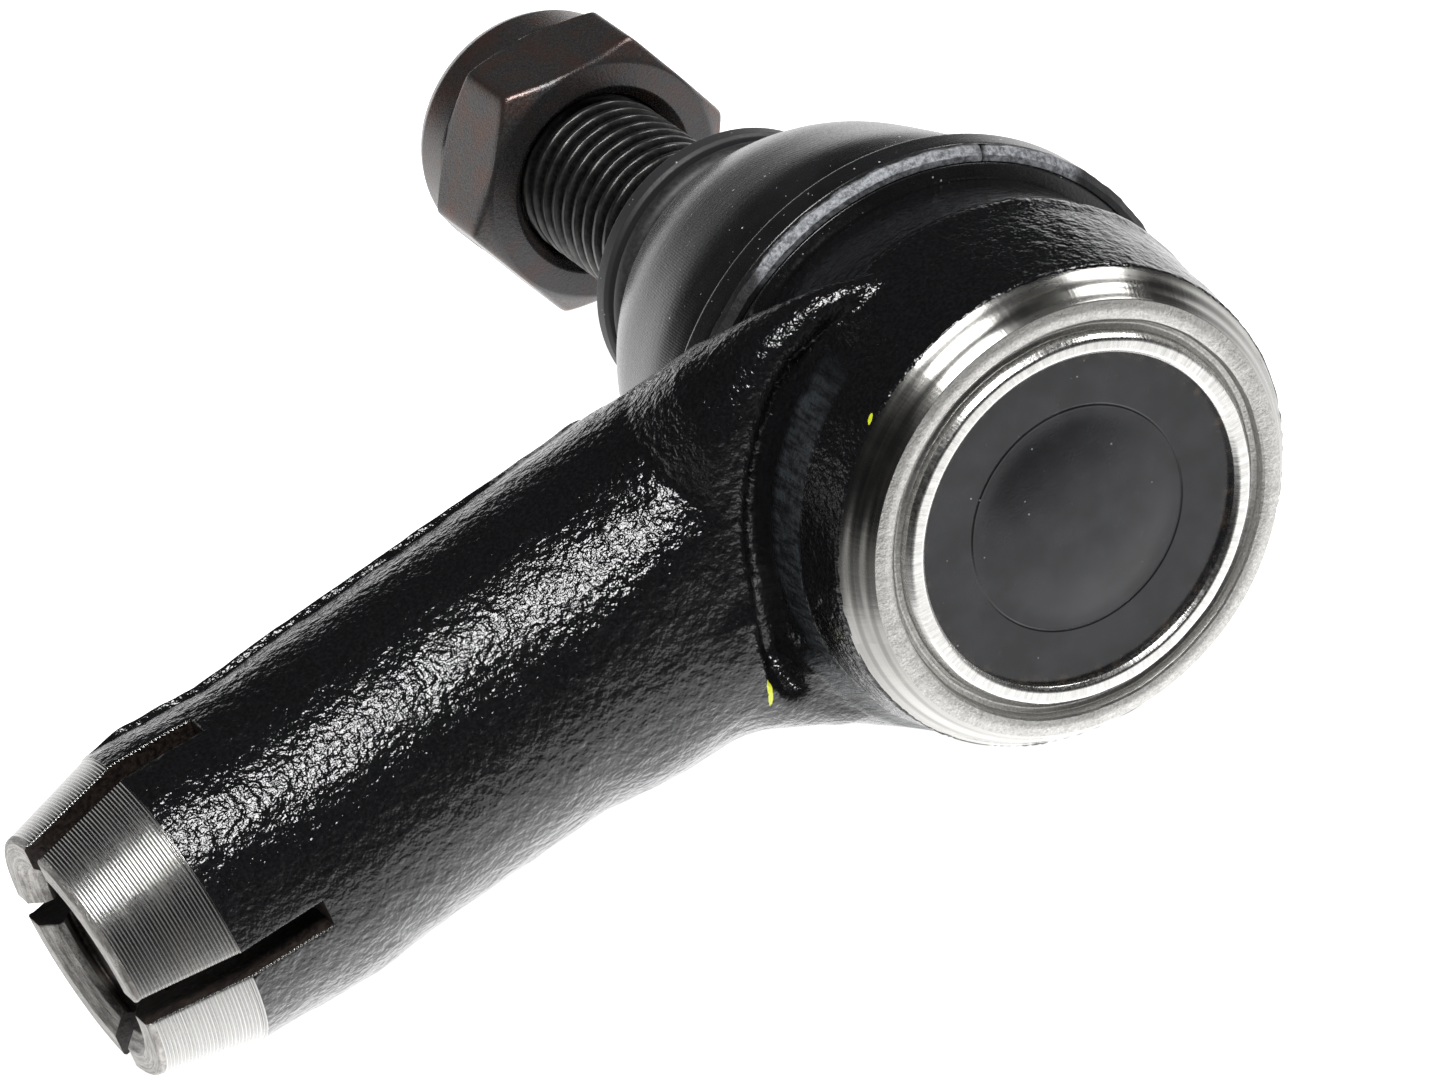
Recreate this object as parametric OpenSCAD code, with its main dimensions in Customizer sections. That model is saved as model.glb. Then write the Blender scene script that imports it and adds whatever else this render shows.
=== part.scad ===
// Outer tie rod end with a slotted clamping cone, ball stud, dust boot and lock nut.
// Millimetres. The origin is the centre of the ball. The stud runs along +Y towards the nut,
// the arm runs along -X, and +Z is up as the part lies on a bench.
// Every part is drawn with the stud along z and the arm along -x, and then laid down by place().

/* [Ball stud] */
// Radius of the ball
ball_r = 10; // [9.5:0.1:10]
// Radius of the neck between the ball and the cone
neck_r = 5.2; // [4.6:0.1:5.4]
// Radius of the cone at its large end
cone_r = 7.25; // [6.8:0.05:7.4]
// Height of the cone's large end above the ball centre
cone_z = 17.2; // [16:0.1:18]
// Height of the cone's small end
cone_top_z = 31.4; // [30:0.1:32]
// Height at which the stud thread starts
thread_z = 33; // [32.6:0.1:33.5]
// Radius over the crests of the M12x1.5 stud thread
thread_r = 5.94; // [5.9:0.01:5.98]
// Height of the stud's tip
tip_z = 60.6; // [58:0.1:62]

/* [Head] */
// Radius of the forged head at its parting line
head_r = 17.8; // [17.2:0.1:18.4]
// Height of the parting line of the head
parting_z = -3.3; // [-4:0.1:-2]
// Radius of the machined rim at the paint line
rim_r = 16.8; // [16.4:0.1:17]
// Height of the paint line at the rim
rim_z = -12.7; // [-13:0.1:-12]
// Height of the flat end face of the rim
face_z = -15; // [-15.4:0.1:-14.8]
// Radius of the bore for the seat and the cover plate
bore_r = 12.4; // [12.2:0.1:12.6]
// Radius of the neck that carries the boot
collar_r = 14.6; // [14.2:0.1:15]
// Height of the top of the neck
collar_z = 7; // [6.5:0.1:7.5]
// Height of the shoulder under the boot
shoulder_z = 3.4; // [3:0.1:3.6]

/* [Arm] */
// Height of the arm's axis above the ball centre
arm_z = 5; // [4:0.1:6]
// Radius of the arm
arm_r = 10.9; // [10.6:0.1:11.2]
// Distance from the stud axis to the end of the arm
arm_len = 68; // [66:0.5:74]
// Length of the clamping cone on the arm's end
clamp_len = 7.2; // [6:0.1:9]
// Radius of the clamping cone at the end face
clamp_r = 9; // [8.8:0.05:9.2]
// Radius of the wall of the M14x1.5 thread bore, at the thread's minor diameter
socket_r = 6.19; // [6.1:0.01:6.25]
// Depth of the thread bore
socket_len = 38; // [34:0.5:40]
// Width of the four slots in the clamping cone
slot_w = 1.9; // [1.5:0.1:2.4]
// Length of the slots
slot_len = 13.6; // [11:0.1:16]

/* [Boot and rings] */
// Radius of the boot's base flange
flange_r = 19.1; // [18.6:0.1:19.6]
// Largest radius of the boot's bulge
bulge_r = 17.1; // [16.8:0.1:17.6]
// Radius of the boot's upper lip
lip_r = 10.35; // [9.8:0.05:10.6]
// Height of the top of the lip
lip_z = 32.9; // [32:0.1:33.4]
// Thickness of the boot's wall
boot_wall = 1.6; // [1.2:0.1:2]

/* [Lock nut] */
// Size of the lock nut across its flats
nut_af = 18; // [17.6:0.1:19]
// Height of the nut's bearing face above the ball centre
nut_z = 50.8; // [42:0.1:51]
// Height of the hexagon
nut_hex_h = 7.4; // [6.5:0.1:8]
// Full height of the nut with its collar
nut_h = 11.9; // [11.4:0.1:12.6]
// Radius of the nut's round collar
nut_collar_r = 9.05; // [8.8:0.05:9.1]
// Turn of the hexagon about the stud
nut_turn = 6.6; // [-30:0.1:30]

/* [Hidden] */
$fn = 96;
seat_gap = 0.05;
fit_gap = 0.03;
cap_r = bore_r - fit_gap;
cap_in_z = face_z + 2.75;
cap_out_z = face_z + 0.4;
lip_in_r = 11.65;
lip_out_r = 13;
groove_out_r = 13.95;
face_out_r = 15.3;
mouth_z = 5;
mouth_r = 10.4;
nut_bore_r = thread_r + 0.06;
wire_r = 0.92;
groove_z = 30.15;
groove_r = 8.3;
eps = 0.01;

// Lays a part that was drawn with the stud along z down, so that the stud runs along +Y.
module place() { rotate([-90, 0, 0]) children(); }

// Solid turned from a list of [radius, height] points.
module turned(points) { rotate_extrude() polygon(points); }

// Cylinder along -x from x0, at the height of the arm's axis.
module along_arm(x0, length, r1, r2) {
    translate([-x0, 0, arm_z]) rotate([0, -90, 0]) cylinder(h = length, r1 = r1, r2 = r2);
}

// Outer shape of the head, with the machined rim and its rolled lip.
module head_outside() {
    turned([
        [0, cap_out_z], [lip_in_r, cap_out_z], [lip_in_r + 0.15, face_z - 0.1],
        [lip_in_r + 0.5, face_z - 0.3], [lip_out_r - 0.4, face_z - 0.3],
        [lip_out_r, face_z + 0.2], [lip_out_r + 0.2, face_z + 0.9],
        [groove_out_r - 0.25, face_z + 0.8], [groove_out_r, face_z],
        [face_out_r, face_z], [rim_r, rim_z], [head_r, parting_z],
        [head_r - 0.8, shoulder_z], [collar_r, shoulder_z], [collar_r, collar_z], [0, collar_z]
    ]);
}

// Room inside the head for the cover plate, the seat and the tilting stud.
module head_inside() {
    turned([
        [0, face_z - 1], [lip_in_r, face_z - 1], [lip_in_r, cap_out_z], [bore_r, cap_out_z],
        [bore_r, 1], [mouth_r, mouth_z], [mouth_r + 0.5, collar_z + 1], [0, collar_z + 1]
    ]);
}

// Round pads at both sides of the head, which the flare runs into.
module flare_pads(x, y, z, r) {
    for (side = [-1, 1])
        translate([-x, side * y, z]) rotate([0, -90, 0]) cylinder(h = 1, r = r, $fn = 32);
}

// The arm widens under the boot's flange and wraps around the head.
module flare() {
    hull() {
        translate([-25, 0, arm_z]) rotate([0, -90, 0]) cylinder(h = 1, r = arm_r - 0.05, $fn = 64);
        flare_pads(16.5, 7.6, 0.8, 5);
    }
    hull() { flare_pads(16.5, 7.6, 0.8, 5); flare_pads(9.5, 11, -1.3, 4.6); }
    hull() { flare_pads(9.5, 11, -1.3, 4.6); flare_pads(1, 12.4, -1.3, 4.6); }
}

// Four slots through the wall of the clamping cone.
module clamp_slots() {
    for (turn = [0, 90])
        translate([-arm_len + slot_len, 0, arm_z]) rotate([turn, 0, 0])
            translate([-slot_len - 1, -slot_w / 2, -arm_r - 1])
                cube([slot_len + 1, slot_w, 2 * arm_r + 2]);
}

// Thread bore with its drill point and its chamfered mouth.
module socket() {
    along_arm(arm_len - socket_len, socket_len + 1, socket_r, socket_r);
    along_arm(arm_len - socket_len - 3, 3 + eps, 0, socket_r);
    along_arm(arm_len - 1.2, 1.2 + eps, socket_r, socket_r + 1);
}

module forged_housing() {
    color("#17181a") place() difference() {
        union() {
            head_outside();
            difference() {
                union() {
                    along_arm(17, arm_len - clamp_len - 17, arm_r, arm_r);
                    along_arm(arm_len - clamp_len, clamp_len, arm_r - 0.1, clamp_r);
                    flare();
                }
                // clear of the boot's flange, which overhangs the head
                translate([0, 0, shoulder_z]) cylinder(h = 40, r = flange_r + 1.1);
                // channel between the arm and the head
                turned([[rim_r + 0.6, -12], [20.4, -8], [20.1, -5.6], [18.9, -4.4], [17.9, -4.6],
                        [rim_r + 0.6, -6.5]]);
            }
        }
        head_inside();
        socket();
        clamp_slots();
    }
}

// One-piece plastic bearing shell around the ball, open towards the stud and for grease below.
module ball_seat() {
    color("#e9e6dc") place() difference() {
        turned([
            [4, cap_in_z + fit_gap], [bore_r - fit_gap, cap_in_z + fit_gap],
            [bore_r - fit_gap, 1 - fit_gap], [mouth_r - fit_gap, mouth_z - 0.05], [4, mouth_z - 0.05]
        ]);
        sphere(r = ball_r + seat_gap);
        translate([0, 0, mouth_z - 2]) cylinder(h = 4, r = 4.5);
    }
}

// Cover plate held by the rolled lip, with a shallow dome in the middle.
module end_cap() {
    color("#2b2c2f") place() turned([
        [0, cap_out_z - 0.7], [2.5, cap_out_z - 0.62], [5, cap_out_z - 0.35], [6.8, cap_out_z - 0.08],
        [7.9, cap_out_z + 0.02],
        [cap_r, cap_out_z + 0.02], [cap_r, cap_in_z], [3.8, cap_in_z], [2.6, cap_in_z + 0.5],
        [0, cap_in_z + 0.5]
    ]);
}

// Ball, neck, 1:10 cone, thread and the turning centre in the tip.
module ball_stud() {
    color("#3a3a3c") place() difference() {
        union() {
            sphere(r = ball_r);
            turned([
                [0, 0], [neck_r, 0], [neck_r, cone_z - 2.2], [cone_r - 0.3, cone_z - 0.3],
                [cone_r, cone_z], [cone_r - (cone_top_z - cone_z) / 20, cone_top_z],
                [thread_r - 0.9, cone_top_z + 0.5], [thread_r - 0.9, thread_z + 0.1],
                [0, thread_z + 0.1]
            ]);
            translate([0, 0, thread_z]) cylinder(h = tip_z - 0.9 - thread_z, r = thread_r);
            translate([0, 0, tip_z - 0.9 - eps])
                cylinder(h = 0.9 + eps, r1 = thread_r, r2 = thread_r - 0.9);
        }
        translate([0, 0, tip_z - 1.6]) cylinder(h = 1.6 + eps, r1 = 0.3, r2 = 1.6);
    }
}

// Rubber boot: base flange over the head's neck, bulged wall, groove and sealing lip.
module dust_boot() {
    base_z = shoulder_z + 0.05;
    in_r = collar_r + 0.05;
    color("#202124") place() turned([
        [in_r, base_z], [flange_r - 1, base_z], [flange_r - 1, base_z + 1.2],
        [flange_r, base_z + 1.2], [flange_r, base_z + 3.2], [flange_r - 0.9, base_z + 4.2],
        [bulge_r - 0.5, base_z + 4.6], [bulge_r, 10.5], [bulge_r - 0.2, 13], [bulge_r - 0.9, 16],
        [15.2, 20], [13.9, 23], [12.1, 26], [10.2, 28.4], [groove_r, 29.1], [groove_r, 31.15],
        [lip_r - 0.15, 31.3], [lip_r, 31.6], [lip_r, lip_z - 0.2], [lip_r - 0.2, lip_z],
        [6.95, lip_z], [6.85, lip_z - 0.4], [6.95, 29.2], [7.6, 28.2],
        [10.2 - boot_wall + 0.4, 27.4], [12.1 - boot_wall, 25], [13.9 - boot_wall, 22],
        [15.2 - boot_wall, 19.2], [bulge_r - 1 - boot_wall, 15], [bulge_r - boot_wall, 11],
        [bulge_r - boot_wall - 0.4, 8.6], [collar_r - 0.4, collar_z + 0.2], [in_r, collar_z + 0.2]
    ]);
}

// Flat steel ring in the step at the foot of the boot's flange, split at one place.
module base_clamp_ring() {
    color("#6f6f6c") place() difference() {
        turned([
            [flange_r - 0.97, shoulder_z + 0.1], [flange_r - 0.5, shoulder_z + 0.1],
            [flange_r, shoulder_z + 0.65], [flange_r, shoulder_z + 1.2],
            [flange_r - 0.97, shoulder_z + 1.2]
        ]);
        rotate([0, 0, 302]) translate([0, -0.25, 0]) cube([flange_r + 3, 0.5, 8]);
    }
}

// Round wire ring in the groove under the lip.
module upper_spring_ring() {
    color("#4a4b4d") place() rotate_extrude()
        translate([groove_r + wire_r + 0.05, groove_z]) circle(r = wire_r, $fn = 32);
}

// Hexagon nut with a round collar that holds the nylon insert.
module lock_nut() {
    corner_r = nut_af / sqrt(3);
    color("#2a2422") place() translate([0, 0, nut_z]) rotate([0, 0, nut_turn]) difference() {
        union() {
            intersection() {
                cylinder(h = nut_hex_h, r = corner_r, $fn = 6);
                turned([
                    [0, 0], [nut_af / 2 - 0.2, 0], [corner_r + 0.2, 1.1],
                    [corner_r + 0.2, nut_hex_h - 1.1], [nut_af / 2 - 0.1, nut_hex_h], [0, nut_hex_h]
                ]);
            }
            turned([
                [0, 1], [nut_collar_r - 0.2, nut_hex_h - 1], [nut_collar_r, nut_hex_h],
                [nut_collar_r, nut_h - 1.4], [nut_collar_r - 0.4, nut_h - 0.5],
                [nut_collar_r - 1.4, nut_h], [0, nut_h]
            ]);
        }
        translate([0, 0, -1]) cylinder(h = nut_h + 2, r = nut_bore_r);
        translate([0, 0, -eps]) cylinder(h = 1 + eps, r1 = nut_bore_r + 0.95, r2 = nut_bore_r);
        translate([0, 0, nut_hex_h + 0.9]) cylinder(h = 2.7, r = 7.9);
        translate([0, 0, nut_h - 0.95]) cylinder(h = 1, r = 7);
    }
}

// Nylon locking ring inside the nut's collar.
module nylon_insert() {
    color("#d9dde0") place() translate([0, 0, nut_z + nut_hex_h + 0.95]) difference() {
        cylinder(h = 2.6, r = 7.85);
        translate([0, 0, -1]) cylinder(h = 5, r = nut_bore_r);
    }
}

forged_housing();
ball_seat();
end_cap();
ball_stud();
dust_boot();
base_clamp_ring();
upper_spring_ring();
lock_nut();
nylon_insert();
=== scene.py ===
# Looks of the outer tie rod end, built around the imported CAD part.
# Shapes are worked out in millimetres in the part's frame and scaled to metres at the end:
# the arm lies along -X, the stud along +Y, and the ball's centre is the origin.
import cmath
import math

import bmesh
import bpy
import numpy as np
from mathutils import Matrix, Vector, noise


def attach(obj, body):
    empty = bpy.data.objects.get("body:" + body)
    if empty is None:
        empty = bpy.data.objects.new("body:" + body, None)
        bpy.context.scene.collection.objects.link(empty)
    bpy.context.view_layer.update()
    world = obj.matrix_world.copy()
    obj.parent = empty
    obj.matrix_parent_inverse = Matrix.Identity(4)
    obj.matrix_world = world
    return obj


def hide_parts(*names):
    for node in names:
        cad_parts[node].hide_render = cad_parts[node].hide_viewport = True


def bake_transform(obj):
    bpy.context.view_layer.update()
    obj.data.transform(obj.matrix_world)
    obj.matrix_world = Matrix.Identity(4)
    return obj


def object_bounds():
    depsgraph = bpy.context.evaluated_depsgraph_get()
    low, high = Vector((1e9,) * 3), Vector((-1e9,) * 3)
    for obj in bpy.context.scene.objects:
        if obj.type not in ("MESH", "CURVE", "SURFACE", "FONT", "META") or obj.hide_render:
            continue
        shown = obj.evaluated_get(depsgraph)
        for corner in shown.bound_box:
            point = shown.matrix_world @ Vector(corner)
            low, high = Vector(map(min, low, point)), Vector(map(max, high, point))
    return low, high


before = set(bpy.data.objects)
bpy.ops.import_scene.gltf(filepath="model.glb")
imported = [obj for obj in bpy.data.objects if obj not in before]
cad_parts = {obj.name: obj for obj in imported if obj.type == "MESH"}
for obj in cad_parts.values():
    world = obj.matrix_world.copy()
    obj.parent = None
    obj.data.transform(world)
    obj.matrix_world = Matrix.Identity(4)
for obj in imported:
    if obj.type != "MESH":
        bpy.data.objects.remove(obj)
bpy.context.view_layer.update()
MM = 0.001
TAU = 2 * math.pi

# sizes that the CAD part fixes, in millimetres
ARM_Y = 5.0             # height of the arm's axis
ARM_R = 10.9            # painted skin
ARM_END = -68.0
CONE_START = -60.8
BORE_START = -66.6      # inner end of the bore's countersink
BORE_END = -31.2
BORE_R = 6.19           # crests of the arm's thread
SLOT_END = -54.4
SLOT_W = 1.9
PITCH = 1.5             # of the stud's thread and of the arm's
STUD_R = 5.94           # crests of the stud's thread
SHOULDER_Y = 3.4        # the head's shoulder, where the boot sits
FLANGE_R = 19.1         # the boot's flange
NUT_Y = 50.8
NUT_AF = 18.0
NUT_TURN = 6.6          # degrees
FLOOR_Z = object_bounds()[0].z

ARM_JOIN = -28.0        # where the forging's mesh ends and the slotted end's begins
SLEEVE_R = 7.28         # the forging's mesh stops short of the threaded bore's
SEAM = 15.6             # where the boot's two pieces meet


# ------------ mesh tools

def normals_by_area(mesh):
    """Vertex normals weighted by face area, so that flats stay flat between rounded edges."""
    count = len(mesh.polygons)
    normal = np.zeros(count * 3)
    area = np.zeros(count)
    total = np.zeros(count, np.int32)
    mesh.polygons.foreach_get("normal", normal)
    mesh.polygons.foreach_get("area", area)
    mesh.polygons.foreach_get("loop_total", total)
    loops = np.zeros(len(mesh.loops), np.int32)
    mesh.loops.foreach_get("vertex_index", loops)
    weighted = np.repeat(normal.reshape(-1, 3) * area[:, None], total, axis=0)
    out = np.zeros((len(mesh.vertices), 3))
    np.add.at(out, loops, weighted)
    return out / np.maximum(np.linalg.norm(out, axis=1), 1e-30)[:, None]


def smooth_object(mesh, normals):
    """The mesh as an object in the scene, shaded smoothly with the given vertex normals."""
    mesh.polygons.foreach_set("use_smooth", np.ones(len(mesh.polygons), bool))
    mesh.normals_split_custom_set_from_vertices(normals.tolist())
    obj = bpy.data.objects.new(mesh.name, mesh)
    bpy.context.scene.collection.objects.link(obj)
    return obj


def build(name, verts, faces, body, slot, materials, stands_for=(), face_material=None):
    """A piece from points in millimetres: welded, wound outwards, smooth, riding on its body."""
    mesh = bpy.data.meshes.new(name)
    mesh.from_pydata((np.asarray(verts) * MM).tolist(), [], [list(map(int, f)) for f in faces])
    for m in materials:
        mesh.materials.append(m)
    if face_material is not None:
        mesh.polygons.foreach_set("material_index", np.asarray(face_material, np.int32))
    bm = bmesh.new()
    bm.from_mesh(mesh)
    bmesh.ops.remove_doubles(bm, verts=bm.verts, dist=2e-7)
    bmesh.ops.recalc_face_normals(bm, faces=bm.faces)
    bm.to_mesh(mesh)
    bm.free()
    mesh.update()
    obj = smooth_object(mesh, normals_by_area(mesh))
    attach(obj, body)
    for node in stands_for:
        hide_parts(node)
    return obj


def grid(points, wrap_u=False, wrap_v=False):
    """Vertices and quads of a grid of points, shape (u, v, 3)."""
    nu, nv = points.shape[:2]
    i, j = np.meshgrid(np.arange(nu if wrap_u else nu - 1),
                       np.arange(nv if wrap_v else nv - 1), indexing="ij")
    i2, j2 = (i + 1) % nu, (j + 1) % nv
    quads = np.stack([i * nv + j, i2 * nv + j, i2 * nv + j2, i * nv + j2], -1)
    return points.reshape(-1, 3), quads.reshape(-1, 4)


def rounded(points, steps=4, closed=True, longest=None):
    """A profile whose corners are rounded to the radius that each point carries as its third number."""
    corners = [complex(x, y) for x, y, _ in points]
    out = []
    for i, (p, (_, _, r)) in enumerate(zip(corners, points)):
        a, b = corners[i - 1] - p, corners[(i + 1) % len(corners)] - p
        half = abs(cmath.phase(a / b)) / 2
        nearly_straight = half > 1.55
        if r <= 0 or nearly_straight or not closed and p in (corners[0], corners[-1]):
            out.append(p)
            continue
        reach = min(r / math.tan(half), 0.45 * abs(a), 0.45 * abs(b))
        start, end = p + a / abs(a) * reach, p + b / abs(b) * reach
        middle = (start + end) / 2 - p
        centre = p + middle / abs(middle) * reach / math.cos(half)
        turn = cmath.phase((end - centre) / (start - centre))
        out += [centre + (start - centre) * cmath.rect(1, turn * k / steps) for k in range(steps + 1)]
    if longest:
        fine = []
        for p, q in zip(out, out[1:] + out[:1] if closed else out[1:]):
            pieces = max(1, math.ceil(abs(q - p) / longest))
            fine += [p + (q - p) * k / pieces for k in range(pieces)]
        if not closed:
            fine.append(out[-1])
        out = fine
    return np.array([(p.real, p.imag) for p in out])


def turned(path, segments=160, closed=True, wobble=None):
    """Grid of a profile [radius, height] turned about the stud's axis."""
    t = np.linspace(0, TAU, segments, endpoint=False)
    r, y = (path[:, i][:, None] + 0 * t for i in (0, 1))
    if wobble is not None:
        r, y = wobble(r, y, t)
    return grid(np.stack([r * np.cos(t), y, r * np.sin(t)], -1), closed, True)


def smooth_curve(points, steps, radius=0):
    """Catmull-Rom curve through profile points, as points that carry that rounding radius."""
    p = np.array(points, float)
    p = np.vstack([2 * p[0] - p[1], p, 2 * p[-1] - p[-2]])
    out = []
    for i in range(1, len(p) - 2):
        for k in range(steps):
            t = k / steps
            out.append(0.5 * (2 * p[i] + (p[i + 1] - p[i - 1]) * t
                              + (2 * p[i - 1] - 5 * p[i] + 4 * p[i + 1] - p[i + 2]) * t * t
                              + (3 * p[i] - p[i - 1] - 3 * p[i + 1] + p[i + 2]) * t ** 3))
    out.append(p[-2])
    return [(r, y, radius) for r, y in out]


def step(x, a, b):
    """Rises smoothly from 0 at a to 1 at b."""
    t = np.clip((x - a) / (b - a), 0, 1)
    return t * t * (3 - 2 * t)


def read(table, at):
    """Value of a table of (place, value) rows at a place between them."""
    return np.interp(at, *zip(*table))


def lumps(points, size, seed):
    """Smooth noise from -1 to 1 at each point, with bumps of about that size in millimetres."""
    shift = Vector((seed, seed * 1.7, -seed))
    return np.array([noise.noise(Vector(p) / size + shift) for p in points])


# ------------ shader tools

class Graph:
    """Short ways to add nodes to a shader tree. A value is another node's output or a plain number."""

    def __init__(self, tree, coords):
        self.tree = tree
        self.coords = self.node("TexCoord").outputs[coords]

    def wire(self, value, socket):
        if hasattr(value, "is_output"):
            self.tree.links.new(value, socket)
        else:
            socket.default_value = value

    def node(self, kind, inputs=None, **settings):
        n = self.tree.nodes.new("ShaderNode" + kind)
        for key, value in settings.items():
            setattr(n, key, value)
        for key, value in (inputs or {}).items():
            self.wire(value, n.inputs[key])
        return n

    def math(self, operation, *values):
        return self.node("Math", dict(enumerate(values)), operation=operation).outputs[0]

    def minus(self, a, b):
        return self.math("SUBTRACT", a, b)

    def plus(self, first, *others):
        for other in others:
            first = self.math("ADD", first, other)
        return first

    def times(self, first, *others):
        for other in others:
            first = self.math("MULTIPLY", first, other)
        return first

    def vector(self, operation, *values):
        n = self.node("VectorMath", dict(enumerate(values)), operation=operation)
        return n.outputs["Value" if operation in ("LENGTH", "DOT_PRODUCT") else "Vector"]

    def point(self, x, y):
        return self.node("CombineXYZ", {0: x, 1: y}).outputs[0]

    def xyz(self):
        """The three coordinates, in metres."""
        return self.node("SeparateXYZ", {0: self.coords}).outputs

    def span(self, value, low, high, to_low=0.0, to_high=1.0):
        """Maps low..high to to_low..to_high, smoothly and clamped."""
        inputs = {"Value": value, "From Min": low, "From Max": high, "To Min": to_low, "To Max": to_high}
        return self.node("MapRange", inputs, interpolation_type="SMOOTHSTEP").outputs["Result"]

    def roughness(self, noise, low, high):
        """Roughness from low to high, following a noise."""
        return self.span(noise, 0.2, 0.8, low, high)

    def mix(self, factor, a, b):
        """Colour a where the factor is 0 and colour b where it is 1."""
        a, b = (c if hasattr(c, "is_output") else (*c, 1.0) for c in (a, b))
        return self.node("Mix", {0: factor, 6: a, 7: b}, data_type="RGBA").outputs[2]


class Look(Graph):
    """A Principled material with procedural textures."""

    def __init__(self, name, **sockets):
        self.mat = bpy.data.materials.new(name)
        self.mat.use_nodes = True
        super().__init__(self.mat.node_tree, "Object")
        self.shader = self.tree.nodes["Principled BSDF"]
        for key, value in sockets.items():
            self.shader.inputs[key.replace("_", " ")].default_value = value

    def noise(self, size, detail=3.0, rough=0.55, stretch=None, at=None):
        """Noise from 0 to 1 with features of about size millimetres."""
        place = at or self.coords
        if stretch:
            place = self.vector("MULTIPLY", place, stretch)
        inputs = {"Vector": place, "Scale": 1000.0 / size, "Detail": detail, "Roughness": rough}
        return self.node("TexNoise", inputs).outputs["Fac"]

    def specks(self, size, reach, patch, threshold):
        """Mask of round specks in cells of size millimetres, kept where a noise is over a threshold."""
        cells = self.node("TexVoronoi", {"Vector": self.coords, "Scale": 1000.0 / size})
        speck = self.span(cells.outputs["Distance"], *reach)
        return self.times(speck, self.span(self.noise(patch, 1), *threshold))

    def radius_about_stud(self):
        return self.vector("LENGTH", self.vector("MULTIPLY", self.coords, (1, 0, 1)))

    def angle_about_stud(self):
        x, _, z = self.xyz()
        return self.math("ARCTAN2", z, x)

    def radius_about_arm(self):
        off_axis = self.vector("SUBTRACT", self.coords, (0, ARM_Y * MM, 0))
        return self.vector("LENGTH", self.vector("MULTIPLY", off_axis, (0, 1, 1)))

    def angle_about_arm(self):
        _, y, z = self.xyz()
        return self.math("ARCTAN2", z, self.minus(y, ARM_Y * MM))

    def over(self, colour, mask, tint, share=1.0):
        """The colour with a share of the tint over it where the mask is 1."""
        return self.mix(self.times(mask, share), colour, tint)

    def bump(self, height, depth, after=None):
        """Normal bumped by a height from 0 to 1, depth millimetres deep, on top of another normal."""
        inputs = {"Height": height, "Distance": depth * MM, "Strength": 1.0}
        if after is not None:
            inputs["Normal"] = after
        return self.node("Bump", inputs).outputs[0]

    def finish(self, colour, roughness, normal=None):
        self.wire(colour, self.shader.inputs["Base Color"])
        self.wire(roughness, self.shader.inputs["Roughness"])
        if normal is not None:
            self.wire(normal, self.shader.inputs["Normal"])
        return self.mat


# ------------ materials

RUST = (0.22, 0.10, 0.05)


def paint_dab(k, centre, along, half_width, half_length):
    """Mask of a long ragged dab of paint, placed in metres."""
    away = k.vector("SUBTRACT", k.coords, centre)
    run = k.vector("DOT_PRODUCT", away, tuple(Vector(along).normalized()))
    run2 = k.times(run, run)
    side2 = k.minus(k.vector("DOT_PRODUCT", away, away), run2)
    shape = k.plus(k.times(side2, half_width ** -2), k.times(run2, half_length ** -2))
    return k.span(k.plus(shape, k.times(k.noise(0.7, 2), 1.6)), 1.75, 1.45)


def black_paint():
    """Thick gloss black paint over a shot-blasted forging."""
    k = Look("black_paint", Specular_IOR_Level=0.5)
    x, y, _ = k.xyz()
    radius = k.radius_about_stud()
    pebbles = k.noise(0.60, 2, 0.50)
    fine = k.noise(0.24, 2, 0.5)
    # the head's wall between the parting line and the boot was coined smoother
    coined = k.times(k.span(y, -0.0033, -0.0026), k.span(radius, 0.0192, 0.0182))
    # dull band where the flash was trimmed beside the arm
    band = k.times(k.times(k.span(y, -0.0088, -0.0082), k.span(y, -0.0052, -0.0060)),
                   k.times(k.span(radius, 0.0187, 0.0183), k.span(x, -0.0078, -0.0115)))
    scores = k.noise(0.55, 3, 0.6, at=k.point(k.times(k.angle_about_stud(), 0.0176), k.times(y, 0.22)))
    height = k.plus(pebbles, k.times(fine, 0.26))
    normal = k.bump(k.times(height, k.minus(1.0, k.times(coined, 0.55))), 0.165)
    normal = k.bump(k.times(scores, band), 0.16, after=normal)
    colour = k.mix(k.span(fine, 0.3, 0.75), (0.0040, 0.0040, 0.0044), (0.008, 0.008, 0.009))
    colour = k.over(colour, k.span(k.noise(1.9, 5, 0.75), 0.66, 0.74), (0.12, 0.12, 0.13), 0.10)
    colour = k.over(colour, band, (0.026, 0.030, 0.033), k.span(scores, 0.38, 0.62, 0.1, 1.0))
    # inspection dab of yellow-green paint on the crest of the arm, and a fleck on the head
    for dab in (paint_dab(k, (-0.02115, -0.0061, -0.0040), (-0.21, 0.28, -0.94), 0.00024, 0.0017),
                paint_dab(k, (-0.00975, -0.0123, 0.0139), (0.6, 0.35, 0.6), 0.00020, 0.00045)):
        colour = k.over(colour, dab, (0.62, 0.68, 0.03))
    rough = k.plus(k.span(k.noise(1.3, 3), 0.25, 0.8, 0.08, 0.16),
                   k.span(k.noise(6.0, 2), 0.3, 0.7, 0.0, 0.04), k.times(band, 0.28), k.times(coined, 0.08))
    return k.finish(colour, rough, normal)


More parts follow.
